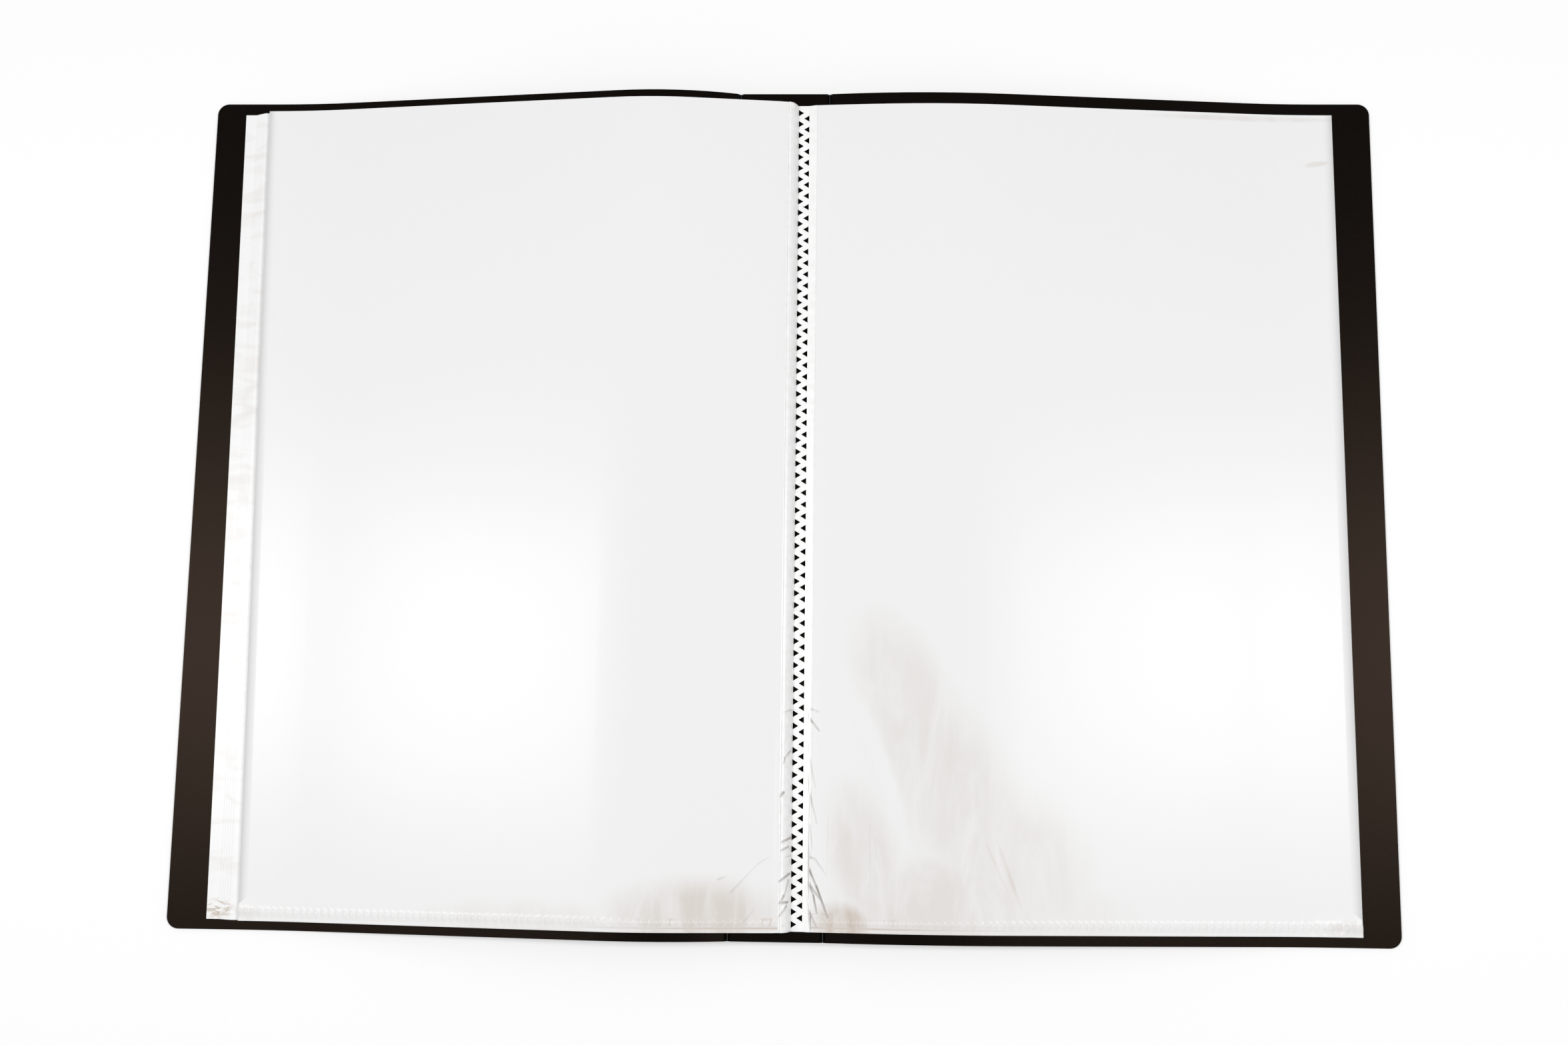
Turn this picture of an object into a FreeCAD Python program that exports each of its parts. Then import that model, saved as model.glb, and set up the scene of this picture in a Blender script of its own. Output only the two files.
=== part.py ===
import FreeCAD, Part
import math
import os

# An open display book: two black moulded cover panels hinged to a spine by creases,
# two welded signatures of clear film pockets, and a white insert sheet in every pocket.
# +X runs across the open book, +Y towards the tops of the pages, +Z up.
# The origin is on the table, under the middle of the open book.

doc = FreeCAD.newDocument("pocket_album")

# ---------------------------------------------------------------- driving dimensions
SIZES = [
    # alias, millimetres or degrees, meaning
    ("cover_height", 340.0, "cover and spine, head to tail"),
    ("cover_thickness", 0.8, "black sheet that the cover is made from"),
    ("corner_radius", 4.7, "rounded outer corners of both panels"),
    ("spine_width", 36.5, "crease to crease"),
    ("spine_lift", 10.5, "underside of the spine above the table, lying open"),
    ("panel_length", 223.5, "crease to fore-edge, along the sheet"),
    ("front_rise", 16.0, "slope of the front panel as it leaves its crease"),
    ("front_fall", 6.5, "slope of the front panel towards the fore-edge"),
    ("front_ridge_radius", 130.0, "bend of the front panel beside its crease"),
    ("back_rise", 6.0, "slope of the back panel as it leaves its crease"),
    ("back_fall", 5.5, "slope of the back panel towards the fore-edge"),
    ("back_ridge_radius", 365.0, "bend of the back panel beside its crease"),
    ("tail_radius", 300.0, "bend where a panel comes down to the table"),
    ("closing_angle", 92.3, "turn of a cover from lying open to closed"),
    ("groove_angle", 43.0, "bevel of the spine edge, from the horizontal"),
    ("groove_slack", 1.3, "angle left open in the crease of the closed book"),
    ("web_radius", 0.15, "thin web left at the bottom of the crease"),
    ("web_clearance", 0.05, "between the web and what it joins"),
    ("film_thickness", 0.08, "clear film of a pocket wall"),
    ("sheet_thickness", 0.1, "white insert"),
    ("sheet_play", 0.05, "between the insert and each pocket wall"),
    ("leaf_gap", 0.06, "between one leaf and the next"),
    ("cover_gap", 0.15, "between the lowest leaf and the cover"),
    ("pocket_width", 220.0, "middle of the weld to the fore-edge of a pocket"),
    ("pocket_height", 330.0, "pocket, head to tail"),
    ("page_drop", 0.75, "pages below the middle of the cover"),
    ("tail_seam", 2.0, "welded strip along the tail of a pocket"),
    ("side_seam", 1.0, "welded strip along the root of a pocket"),
    ("fold_wall", 0.3, "folded film along the fore-edge of a pocket"),
    ("sheet_width", 208.0, "insert, across"),
    ("sheet_height", 327.0, "insert, head to tail"),
    ("sheet_seat", 0.3, "insert above the tail seam"),
    ("sheet_inset", 0.8, "insert from the root seam"),
    ("weld_spacing", 14.4, "between the middles of the two weld strips"),
    ("weld_width", 4.4, "fused band of a weld strip"),
    ("weld_height", 1.35, "fused band above the spine"),
    ("tooth_pitch", 4.7, "between two weld marks in one column"),
    ("tooth_width", 2.0, "weld mark, across the spine"),
    ("tooth_length", 2.2, "weld mark, along the spine"),
    ("column_spacing", 2.15, "between the two columns of weld marks"),
    ("root_spacing", 0.6, "sideways step from one leaf root to the next"),
    ("root_rise", 0.35, "lowest leaf root above the spine"),
    ("root_play", 0.3, "between a leaf root and the weld strip"),
    ("outer_reach", 6.8, "weld middle to the lowest root of the first signature"),
    ("turned_reach", 2.6, "weld middle to the first turned root"),
    ("turned_lift", 1.4, "first turned root above the lowest root"),
    ("inner_reach", 8.45, "weld middle to the first left root, second signature"),
    ("inner_lift", 3.6, "first left root of the second signature, above the lowest"),
    ("right_reach", 8.6, "weld middle to the lowest right-hand root"),
    ("flank_run", 0.7, "level top of a film flank before it falls to the weld"),
    ("leaves_per_side", 5, "pockets on each side of a signature"),
]

sizes = doc.addObject("Spreadsheet::Sheet", "sizes")
for row, (alias, value, meaning) in enumerate(SIZES, start=1):
    sizes.set("A%d" % row, meaning)
    sizes.set("B%d" % row, str(value))
    sizes.setAlias("B%d" % row, alias)
doc.recompute()


def size(alias):
    return float(sizes.get(alias))


# ---------------------------------------------------------------- values worked out
NO_LENGTH = 1e-6  # millimetres; a run shorter than this is none
TOUCHING = 0.01  # millimetres; nearer than this is the same place
spine_edge = size("spine_width") / 2
spine_top = size("spine_lift") + size("cover_thickness")
leaf_thickness = 2 * size("film_thickness") + 2 * size("sheet_play") + size("sheet_thickness")
leaf_pitch = leaf_thickness + size("leaf_gap")
leaves = int(size("leaves_per_side"))
root_base = spine_top + size("root_rise")
weld_top = spine_top + size("weld_height")
web_room = size("web_radius") + size("web_clearance")


# ---------------------------------------------------------------- bent ribbons
# A ribbon is drawn as its lower line: a start, a heading in degrees, and runs.
# A run is (length, bend radius, turn); a straight run has no radius and no turn.
# Outwards is always positive here; a side of -1 or +1 then puts it on the book.
def heading_vector(angle):
    return math.cos(math.radians(angle)), math.sin(math.radians(angle))


def straight(length):
    return (length, 0.0, 0.0)


def bend(radius, turn):
    return (radius * math.radians(abs(turn)), radius, turn)


def cut_to_length(runs, total):
    kept = []
    left = total
    for length, radius, turn in runs:
        if left <= NO_LENGTH:
            break
        share = min(1.0, left / length)
        kept.append((length * share, radius, turn * share))
        left -= length * share
    if left > NO_LENGTH:
        kept.append(straight(left))
    return kept


def skip_length(start, angle, runs, distance):
    """Move the start along the ribbon: returns the new start, heading and runs."""
    rest = list(runs)
    while distance > NO_LENGTH:
        length, radius, turn = rest.pop(0)
        share = min(1.0, distance / length)
        edges, start, angle = follow(start, angle, [(length * share, radius, turn * share)])
        if share < 1.0:
            rest.insert(0, (length * (1 - share), radius, turn * (1 - share)))
        distance -= length * share
    return start, angle, rest


def follow(start, angle, runs):
    """The edges along the runs, as point tuples of two or three, with the end."""
    edges = []
    here = start
    for length, radius, turn in runs:
        if turn == 0:
            dx, dz = heading_vector(angle)
            there = (here[0] + dx * length, here[1] + dz * length)
            edges.append((here, there))
        else:
            side = 1 if turn > 0 else -1
            centre_x = here[0] - side * radius * math.sin(math.radians(angle))
            centre_z = here[1] + side * radius * math.cos(math.radians(angle))
            points = []
            for part in (0.5, 1.0):
                at = math.radians(angle + turn * part - 90 * side)
                points.append((centre_x + radius * math.cos(at), centre_z + radius * math.sin(at)))
            edges.append((here, points[0], points[1]))
            there = points[1]
            angle += turn
        here = there
    return edges, here, angle


def raised(start, angle, runs, rise):
    """The same ribbon line, moved square to itself by the rise."""
    dx, dz = heading_vector(angle)
    moved = (start[0] - dz * rise, start[1] + dx * rise)
    runs = [
        (length, 0.0, 0.0) if turn == 0 else bend(radius - math.copysign(rise, turn), turn)
        for length, radius, turn in runs
    ]
    return moved, angle, runs


def ribbon(start, angle, runs, thickness, lip=0.0, rounded=False):
    """The closed outline of a ribbon above its lower line.

    Its first end is square, bevelled by the lip, or rounded to a half circle."""
    low, low_end, _ = follow(start, angle, runs)
    high, high_end, _ = follow(*skip_length(*raised(start, angle, runs, thickness), lip))
    high_start = high[0][0]
    back = [tuple(reversed(edge)) for edge in reversed(high)]
    first_end = (high_start, start)
    if rounded:
        dx, dz = heading_vector(angle)
        tip = ((high_start[0] + start[0] - dx * thickness) / 2,
               (high_start[1] + start[1] - dz * thickness) / 2)
        first_end = (high_start, tip, start)
    return low + [(low_end, high_end)] + back + [first_end]


# ---------------------------------------------------------------- document helpers
def new_body(label):
    body = doc.addObject("PartDesign::Body", label)
    body.Label = label
    return body


def origin_plane(body, role):
    return next(f for f in body.Origin.OriginFeatures if f.Role == role)


def sketch_on(body, role, name):
    sketch = body.newObject("Sketcher::SketchObject", name)
    sketch.AttachmentSupport = (origin_plane(body, role), [""])
    sketch.MapMode = "FlatFace"
    return sketch


def draw(sketch, edges, side=1):
    for edge in edges:
        points = [FreeCAD.Vector(side * x, z, 0) for x, z in edge]
        if len(points) == 2:
            sketch.addGeometry(Part.LineSegment(*points), False)
        else:
            sketch.addGeometry(Part.Arc(*points), False)


def corner_edges(points):
    return [(points[n], points[(n + 1) % len(points)]) for n in range(len(points))]


def pad_along_y(body, edges, side, length):
    sketch = sketch_on(body, "XZ_Plane", body.Label + "_section")
    draw(sketch, edges, side)
    pad = body.newObject("PartDesign::Pad", body.Label + "_pad")
    pad.Profile = sketch
    pad.SideType = "Symmetric"
    pad.setExpression("Length", length)
    return pad


def finish(body):
    doc.recompute()
    return body


# ---------------------------------------------------------------- cover
def panel_line(name):
    """Lower line of a cover panel from its crease: start, heading and runs."""
    rise, fall = size(name + "_rise"), size(name + "_fall")
    ridge, tail = size(name + "_ridge_radius"), size("tail_radius")
    drop_in_tail = tail * (1 - math.cos(math.radians(fall)))
    ridge_gain = ridge * (math.cos(math.radians(fall)) - math.cos(math.radians(rise)))
    slope = (size("spine_lift") + ridge_gain - drop_in_tail) / math.sin(math.radians(fall))
    runs = [bend(ridge, -(rise + fall)), straight(slope), bend(tail, fall)]
    runs = cut_to_length(runs, size("panel_length"))
    return (spine_edge, size("spine_lift")), rise, runs


def cover_panel(label, name, side):
    start, angle, runs = panel_line(name)
    lip = 180 - angle - size("closing_angle") - size("groove_angle") - size("groove_slack")
    start, angle, runs = skip_length(start, angle, runs, web_room)
    lip_run = size("cover_thickness") / math.tan(math.radians(lip))
    outline = ribbon(start, angle, runs, size("cover_thickness"), lip_run)
    body = new_body(label)
    pad = pad_along_y(body, outline, side, "sizes.cover_height")
    doc.recompute()
    reach = max(abs(v.X) for v in pad.Shape.Vertexes)
    names = []
    for n, edge in enumerate(pad.Shape.Edges, start=1):
        upright = abs(edge.BoundBox.ZLength - edge.Length) < TOUCHING
        if upright and abs(edge.CenterOfMass.x) > reach - TOUCHING:
            names.append("Edge%d" % n)
    fillet = body.newObject("PartDesign::Fillet", label + "_corners")
    fillet.Base = (pad, names)
    fillet.setExpression("Radius", "sizes.corner_radius")
    return finish(body)


def spine_panel():
    inset = size("cover_thickness") / math.tan(math.radians(size("groove_angle")))
    low = spine_edge - web_room
    points = [
        (-low, size("spine_lift")),
        (low, size("spine_lift")),
        (low - inset, spine_top),
        (inset - low, spine_top),
    ]
    body = new_body("spine_panel")
    pad_along_y(body, corner_edges(points), 1, "sizes.cover_height")
    return finish(body)


def hinge_web(label, side):
    web = doc.addObject("Part::Cylinder", label)
    web.Label = label
    web.setExpression("Radius", "sizes.web_radius")
    web.setExpression("Height", "sizes.cover_height")
    turn = FreeCAD.Rotation(FreeCAD.Vector(1, 0, 0), -90)
    web.Placement = FreeCAD.Placement(FreeCAD.Vector(0, 0, 0), turn)
    web.setExpression("Placement.Base.x", "%d * sizes.spine_width / 2" % side)
    web.setExpression("Placement.Base.y", "-sizes.cover_height / 2")
    web.setExpression("Placement.Base.z", "sizes.spine_lift")
    return web


# ---------------------------------------------------------------- leaf roots
# Where every leaf leaves its weld strip, lowest leaf first. The left pile holds both
# halves of the first signature and the left half of the second; the right pile holds
# the right half of the second. Each root is a place across the book and a height.
weld_1 = -size("weld_spacing") / 2
weld_2 = size("weld_spacing") / 2


def roots(first_x, step, lift):
    return [(first_x + step * n, root_base + lift + leaf_pitch * n) for n in range(leaves)]


first_left = roots(weld_1 - size("outer_reach"), size("root_spacing"), 0)
first_turned = roots(weld_1 + size("turned_reach"), size("root_spacing"), size("turned_lift"))
second_left = roots(weld_2 - size("inner_reach"), size("root_spacing"), size("inner_lift"))
second_right = roots(weld_2 + size("right_reach"), -size("root_spacing"), 0)


# ---------------------------------------------------------------- leaves
def leaf_line(name, side, root, weld_middle, level):
    """Lower line of a leaf: tight from its root to the ridge, then along the cover."""
    (crease_x, crease_z), rise, panel_runs = panel_line(name)
    above = size("cover_thickness") + size("cover_gap") + leaf_pitch * level
    ridge = size(name + "_ridge_radius")
    centre = (crease_x + ridge * math.sin(math.radians(rise)),
              crease_z - ridge * math.cos(math.radians(rise)))
    # the hinge line of the leaf runs through the middle of its root end
    middle = above + leaf_thickness / 2
    radius = ridge + middle
    out, up = side * root[0] - centre[0], root[1] - centre[1]
    distance = math.hypot(out, up)
    swing = math.degrees(math.acos(min(1.0, radius / distance)))
    heading = math.degrees(math.atan2(up, out)) - swing - 90
    tight = math.sqrt(max(0.0, distance ** 2 - radius ** 2))
    on_cover = raised((0, 0), 0, panel_runs, middle)[2][1:]
    runs = [straight(tight), bend(radius, -(heading + size(name + "_fall")))] + on_cover
    length = size("pocket_width") - abs(root[0] - weld_middle)
    runs = cut_to_length(runs, length)
    return raised((side * root[0], root[1]), heading, runs, -leaf_thickness / 2)


def pocket(label, line, side):
    start, angle, runs = line
    length = sum(run[0] for run in runs)
    body = new_body(label)
    outline = ribbon(start, angle, runs, leaf_thickness, rounded=True)
    pad_along_y(body, outline, side, "sizes.pocket_height")
    film = size("film_thickness")
    hollow = raised(start, angle, cut_to_length(runs, length - size("fold_wall")), film)
    hollow = skip_length(*hollow, size("side_seam"))
    sketch = sketch_on(body, "XZ_Plane", label + "_hollow")
    sketch.setExpression("AttachmentOffset.Base.z", "sizes.pocket_height / 2 - sizes.tail_seam")
    draw(sketch, ribbon(*hollow, leaf_thickness - 2 * film), side)
    opening = body.newObject("PartDesign::Pocket", label + "_opening")
    opening.Profile = sketch
    opening.Type = "ThroughAll"
    body.setExpression("Placement.Base.y", "-sizes.page_drop")
    return finish(body)


def insert_sheet(label, line, side):
    start, angle, runs = line
    inset = size("side_seam") + size("sheet_inset")
    lift = size("film_thickness") + size("sheet_play")
    start, angle, runs = raised(start, angle, runs, lift)
    start, angle, runs = skip_length(start, angle, runs, inset)
    runs = cut_to_length(runs, size("sheet_width"))
    body = new_body(label)
    outline = ribbon(start, angle, runs, size("sheet_thickness"))
    pad_along_y(body, outline, side, "sizes.sheet_height")
    body.setExpression(
        "Placement.Base.y",
        "sizes.sheet_height / 2 - sizes.pocket_height / 2"
        " + sizes.tail_seam + sizes.sheet_seat - sizes.page_drop",
    )
    return finish(body)


# ---------------------------------------------------------------- weld strips
def flank_steps(roots, side):
    """Stepped end of a film flank under a pile of roots, lowest root first."""
    half = leaf_pitch / 2
    points = []
    for x, z in roots:
        edge = x + side * size("root_play")
        points.append((edge, z - half))
        points.append((edge, z + half))
    return points


def weld_marks(body, middle, side):
    """One column of three-cornered weld marks, cut right through the fused band."""
    name = "%s_marks_%s" % (body.Label, "left" if side < 0 else "right")
    sketch = sketch_on(body, "XY_Plane", name)
    weld_level = "sizes.spine_lift + sizes.cover_thickness + sizes.weld_height"
    sketch.setExpression("AttachmentOffset.Base.z", weld_level)
    column = middle + side * size("column_spacing") / 2
    count = int((size("pocket_height") - size("tooth_length")) / size("tooth_pitch"))
    if side < 0:
        count += 1  # the marks of the right column stand between those of the left
    first = -size("tooth_pitch") * (count - 1) / 2
    across, along = size("tooth_width") / 2, size("tooth_length") / 2
    points = [
        (column - side * across, first),
        (column + side * across, first + along),
        (column + side * across, first - along),
    ]
    draw(sketch, corner_edges(points))
    mark = body.newObject("PartDesign::Pocket", name + "_cut")
    mark.Profile = sketch
    mark.setExpression("Length", "sizes.weld_height")
    doc.recompute()
    row = body.newObject("PartDesign::LinearPattern", name + "_row")
    row.Originals = [mark]
    row.Direction = (sketch, ["V_Axis"])
    row.Occurrences = count
    row.Length = size("tooth_pitch") * (count - 1)
    body.Tip = row
    doc.recompute()


def weld_strip(label, middle, section):
    body = new_body(label)
    pad_along_y(body, corner_edges(section), 1, "sizes.pocket_height")
    doc.recompute()
    weld_marks(body, middle, -1)
    weld_marks(body, middle, 1)
    body.setExpression("Placement.Base.y", "-sizes.page_drop")
    return finish(body)


def first_strip_section():
    """Left film pile, fused band, and the film that turns back over to the left."""
    low, high = weld_1 - size("weld_width") / 2, weld_1 + size("weld_width") / 2
    left = flank_steps(first_left, 1)
    turned = flank_steps(first_turned, 1)
    shoulder = (left[-1][0] + size("flank_run"), left[-1][1])
    back = turned[-1][0] + size("root_play")
    points = [(left[0][0], spine_top)] + left[1:]
    points += [shoulder, (low, weld_top), (high, weld_top)] + turned
    return points + [(back, turned[-1][1]), (back, spine_top)]


def second_strip_section():
    """Film climbing over the left pile, fused band, and the right film pile."""
    low, high = weld_2 - size("weld_width") / 2, weld_2 + size("weld_width") / 2
    left = flank_steps(second_left, 1)
    right = flank_steps(second_right, -1)
    left_shoulder = (left[-1][0] + size("flank_run"), left[-1][1])
    right_shoulder = (right[-1][0] - size("flank_run"), right[-1][1])
    points = [(low - size("weld_height"), spine_top)] + left
    points += [left_shoulder, (low, weld_top), (high, weld_top), right_shoulder]
    return points + right[:0:-1] + [(right[0][0], spine_top)]


# ---------------------------------------------------------------- the parts
parts = [
    cover_panel("front_cover_panel", "front", -1),
    spine_panel(),
    cover_panel("back_cover_panel", "back", 1),
    hinge_web("front_hinge_web", -1),
    hinge_web("back_hinge_web", 1),
    weld_strip("weld_strip_1", weld_1, first_strip_section()),
    weld_strip("weld_strip_2", weld_2, second_strip_section()),
]
left_pile = [(root, weld_1) for root in first_left + first_turned]
left_pile += [(root, weld_2) for root in second_left]
right_pile = [(root, weld_2) for root in second_right]
for name, side, pile in (("front", -1, left_pile), ("back", 1, right_pile)):
    for level, (root, weld_middle) in enumerate(pile):
        number = level + 1 if side < 0 else level + 1 + len(left_pile)
        line = leaf_line(name, side, root, weld_middle, level)
        parts.append(pocket("pocket_%02d" % number, line, side))
        parts.append(insert_sheet("sheet_%02d" % number, line, side))

# ---------------------------------------------------------------- check and write
doc.recompute()
for item in doc.Objects:
    if "Invalid" in item.State or "Error" in item.State:
        raise RuntimeError("%s did not build: %s" % (item.Name, item.State))
for part in parts:
    if part.Shape.isNull() or not part.Shape.isValid():
        raise RuntimeError("%s has no sound shape" % part.Label)

os.makedirs("parts", exist_ok=True)
for part in parts:
    part.Shape.exportStep("parts/%s.step" % part.Label)
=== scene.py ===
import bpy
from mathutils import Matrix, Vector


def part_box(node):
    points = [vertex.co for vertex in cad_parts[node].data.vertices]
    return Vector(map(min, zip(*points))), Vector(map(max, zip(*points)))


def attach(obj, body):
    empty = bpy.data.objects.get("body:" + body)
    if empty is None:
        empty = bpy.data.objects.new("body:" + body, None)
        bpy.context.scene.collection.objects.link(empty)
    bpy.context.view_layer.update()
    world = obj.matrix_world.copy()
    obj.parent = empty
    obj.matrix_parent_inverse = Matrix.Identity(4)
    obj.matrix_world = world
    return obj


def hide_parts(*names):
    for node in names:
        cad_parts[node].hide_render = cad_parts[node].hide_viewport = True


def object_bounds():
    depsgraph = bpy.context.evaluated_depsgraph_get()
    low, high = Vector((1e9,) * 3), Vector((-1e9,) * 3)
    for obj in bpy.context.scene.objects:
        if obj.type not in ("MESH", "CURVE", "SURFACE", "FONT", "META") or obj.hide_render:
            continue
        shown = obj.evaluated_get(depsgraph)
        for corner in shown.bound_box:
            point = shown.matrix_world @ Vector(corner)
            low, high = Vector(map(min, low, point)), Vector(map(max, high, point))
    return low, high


bl_info = {
    "name": "Pocket album",
    "version": (1, 0, 0),
    "blender": (4, 5, 0),
    "location": "View3D > Sidebar > Album",
    "description": "Film, paper and cover finishes for an open display book",
    "category": "Object",
}

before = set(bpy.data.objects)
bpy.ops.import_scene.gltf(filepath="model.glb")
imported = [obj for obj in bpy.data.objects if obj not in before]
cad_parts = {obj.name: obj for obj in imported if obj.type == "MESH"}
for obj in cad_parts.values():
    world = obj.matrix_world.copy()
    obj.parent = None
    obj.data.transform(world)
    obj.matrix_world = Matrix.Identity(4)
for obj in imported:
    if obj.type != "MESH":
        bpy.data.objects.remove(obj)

import math

import bmesh
import bpy
from bpy.props import FloatProperty, FloatVectorProperty, PointerProperty
from mathutils import Euler, Matrix, Vector, noise
from mathutils.bvhtree import BVHTree

MM = 0.001
CAD_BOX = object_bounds()
MERGE = 0.001 * MM  # vertices nearer than this become one
SHARP = math.radians(35)  # a steeper turn between two faces stays an edge
FLAT = math.radians(0.1)  # faces that turn less than this are one face
CREASE = "crease"  # attribute of the film: how sharply it is creased, 0 to 1; it lifts the crease and sets its painted shade
SEAM_SHADE = "seam"  # attribute of the film: how much painted shade its tail seam has, 0 to 1

LEFT_LEAVES = range(1, 16)
RIGHT_LEAVES = range(16, 21)
OPEN_LEFT, OPEN_RIGHT = LEFT_LEAVES[-1], RIGHT_LEAVES[-1]
TAIL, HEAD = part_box("weld_strip_2")[0].y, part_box("weld_strip_2")[1].y


# ------------------------------------------------------------------ colours and nodes
def linear(code):
    """An sRGB hex colour as the linear values that Blender stores."""
    parts = [int(code[n:n + 2], 16) / 255 for n in (1, 3, 5)]
    return [c / 12.92 if c <= 0.04045 else ((c + 0.055) / 1.055) ** 2.4 for c in parts]


def rgba(colour):
    return tuple(linear(colour) if isinstance(colour, str) else colour) + (1.0,)


def add_node(tree, kind, inputs=None, **settings):
    """Adds one node: its own settings by name, its inputs by value or by a linked socket."""
    node = tree.nodes.new(kind)
    for name, value in settings.items():
        setattr(node, name, value)
    for name, value in (inputs or {}).items():
        if isinstance(value, bpy.types.NodeSocket):
            tree.links.new(value, node.inputs[name])
        else:
            node.inputs[name].default_value = value
    return node


def worked_out(tree, operation, *values):
    """What a math node makes of its values, each a number or a linked socket."""
    inputs = dict(enumerate(values))
    return add_node(tree, "ShaderNodeMath", inputs, operation=operation).outputs[0]


def start_material(name, **sockets):
    """A new material with its shader; sockets are the shader's uniform values."""
    material = bpy.data.materials.new(name)
    material.use_nodes = True
    shader = material.node_tree.nodes["Principled BSDF"]
    for socket, value in sockets.items():
        shader.inputs[socket.replace("_", " ")].default_value = value
    return material, material.node_tree, shader


def two_tone(tree, texture, dark, pale, low=0.3, high=0.7):
    """Runs a texture's value between two colours."""
    ramp = add_node(tree, "ShaderNodeValToRGB", {"Fac": texture.outputs["Fac"]})
    ramp.color_ramp.elements[0].color = rgba(dark)
    ramp.color_ramp.elements[0].position = low
    ramp.color_ramp.elements[1].color = rgba(pale)
    ramp.color_ramp.elements[1].position = high
    return ramp.outputs["Color"]


# ------------------------------------------------------------------ settings
class CoverSettings(bpy.types.PropertyGroup):
    colour: FloatVectorProperty(
        name="Colour", description="Black polypropylene of the cover",
        subtype="COLOR", size=3, default=linear("#050505"), min=0, max=1)
    stressed: FloatVectorProperty(
        name="Stressed", description="Polypropylene whitened by bending, in the creases",
        subtype="COLOR", size=3, default=linear("#2c2c2d"), min=0, max=1)
    grain: FloatProperty(
        name="Grain", description="Width of one grain of the sanded face",
        default=0.55 * MM, min=0, unit="LENGTH")
    crease_width: FloatProperty(
        name="Crease width", description="Width of the pale line along each crease",
        default=0.4 * MM, min=0, unit="LENGTH")


class FilmSettings(bpy.types.PropertyGroup):
    colour: FloatVectorProperty(
        name="Colour", description="Clear film over white paper",
        subtype="COLOR", size=3, default=linear("#fefefe"), min=0, max=1)
    # Painted reflection and painted shade: the warm grey painted into the film's colour.
    reflection_and_shade_grey: FloatVectorProperty(
        name="Haze", description="Warm grey of film that stands off the sheet below",
        subtype="COLOR", size=3, default=linear("#d6cbc1"), min=0, max=1)
    # Painted shade: the grey painted along each sharp crease.
    crease_shade_colour: FloatVectorProperty(
        name="Crease colour", description="Grey line along a sharp crease",
        subtype="COLOR", size=3, default=linear("#988e85"), min=0, max=1)
    ripple: FloatProperty(
        name="Ripple", description="Height of the long soft waves of an open page",
        default=0.3 * MM, min=0, unit="LENGTH")
    bead_pitch: FloatProperty(
        name="Bead pitch", description="From one bead of the tail seam to the next",
        default=2.9 * MM, min=0, unit="LENGTH")
    bead_height: FloatProperty(
        name="Bead height", description="How far a bead of the tail seam stands up",
        default=0.5 * MM, min=0, unit="LENGTH")
    crease_height: FloatProperty(
        name="Crease height", description="Height of the sharpest creases beside the weld",
        default=0.8 * MM, min=0, unit="LENGTH")
    crease_half_width: FloatProperty(
        name="Crease half width", description="Half the width of one crease",
        default=0.38 * MM, min=0, unit="LENGTH")
    fine_step: FloatProperty(
        name="Fine step", description="Mesh step where the film is creased",
        default=0.32 * MM, min=0, unit="LENGTH")
    coarse_step: FloatProperty(
        name="Coarse step", description="Mesh step where the film lies flat",
        default=3.0 * MM, min=0, unit="LENGTH")


class PileSettings(bpy.types.PropertyGroup):
    head_slip: FloatProperty(
        name="Head slip", description="Fore-edge of the open left page moved out at the head",
        default=4.6 * MM, min=0, unit="LENGTH")
    lowest_share: FloatProperty(
        name="Lowest share", description="Share of the head slip that the lowest leaf has",
        default=0.0, min=0, max=1, subtype="FACTOR")
    tail_slip: FloatProperty(
        name="Tail slip", description="Fore-edges of the left pile moved in at the tail",
        default=2.3 * MM, min=0, unit="LENGTH")
    right_head_slip: FloatProperty(
        name="Right head slip", description="Fore-edges of the right pile moved in at the head",
        default=1.65 * MM, min=0, unit="LENGTH")
    right_tail_slip: FloatProperty(
        name="Right tail slip", description="Fore-edges of the right pile moved in at the tail",
        default=1.0 * MM, min=0, unit="LENGTH")


class WeldSettings(bpy.types.PropertyGroup):
    head_lean: FloatProperty(
        name="Head lean", description="Weld moved to the right at the head",
        default=0.6 * MM, min=0, unit="LENGTH")
    tail_lean: FloatProperty(
        name="Tail lean", description="Weld moved to the right at the tail",
        default=1.0 * MM, min=0, unit="LENGTH")
    mark_growth: FloatProperty(
        name="Mark growth", description="Length of a weld mark, as a share of the plain one",
        default=1.2, min=1, max=1.25, subtype="FACTOR")
    billow: FloatProperty(
        name="Billow", description="How fully the film left of the weld stands up",
        default=0.6, min=0, max=0.8, subtype="FACTOR")


class StageSettings(bpy.types.PropertyGroup):
    camera_height: FloatProperty(
        name="Camera height", description="Camera above the table",
        default=610.208 * MM, unit="LENGTH")
    lamp_height: FloatProperty(
        name="Lamp height", description="Soft lamps above the table",
        default=1.2, min=0, unit="LENGTH")
    lamp_power: FloatProperty(
        name="Lamp power", description="Power of each of the two soft lamps",
        default=6.9, min=0, unit="POWER")
    surroundings: FloatProperty(
        name="Surroundings", description="Strength of the white room around the table",
        default=0.36, min=0)


# ------------------------------------------------------------------ materials
# Shares of the cover's colour between the grains and on top of them.
GRAIN_DARK, GRAIN_PALE = 0.55, 1.6
FACE_RELIEF = 0.05 * MM  # height of the cover's grain and of the film's drawing lines
WELD_RELIEF = 0.1 * MM  # height of the pressed face of the weld
# Opacity of the film of a closed leaf, of an open page, and where it is wholly painted grey, so
# that the painted reflection covers the sheet.
CLOSED_OPACITY, OPEN_OPACITY, PAINTED_GREY_OPACITY = 0.95, 0.88, 0.97


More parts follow.
